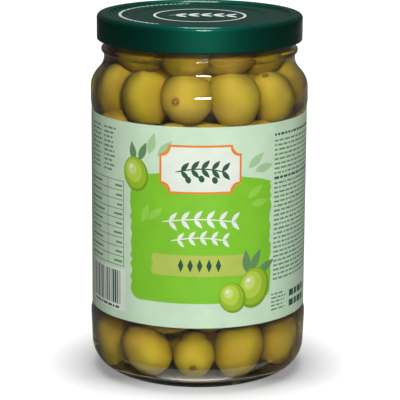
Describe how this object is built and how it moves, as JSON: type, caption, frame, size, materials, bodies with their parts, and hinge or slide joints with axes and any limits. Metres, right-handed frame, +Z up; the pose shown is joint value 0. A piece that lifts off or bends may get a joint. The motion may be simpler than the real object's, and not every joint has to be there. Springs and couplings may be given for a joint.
{
  "type": "jar of olives",
  "caption": "Tall round clear glass jar of whole green olives in brine, with a green twist-off metal lid and a pale green wrap-round paper label.",
  "frame": {"origin": "middle of the ring that the jar stands on, on the surface", "axes": "+Z up along the jar's axis, -Y towards the front of the label, +X to the right of the front, label seam at +Y"},
  "size_m": [0.1188, 0.1188, 0.1973],
  "materials": {
    "glass": "clear, polished",
    "lid_lacquer": "gloss lacquer",
    "label_paper": "coated, printed",
    "brine": "clear liquid",
    "olive_skin": "wet, satin"
  },
  "bodies": {
    "root": {"jar": "glass", "lid": "lid_lacquer", "label": "label_paper", "brine": "brine", "olives": "olive_skin"}
  },
  "joints": []
}
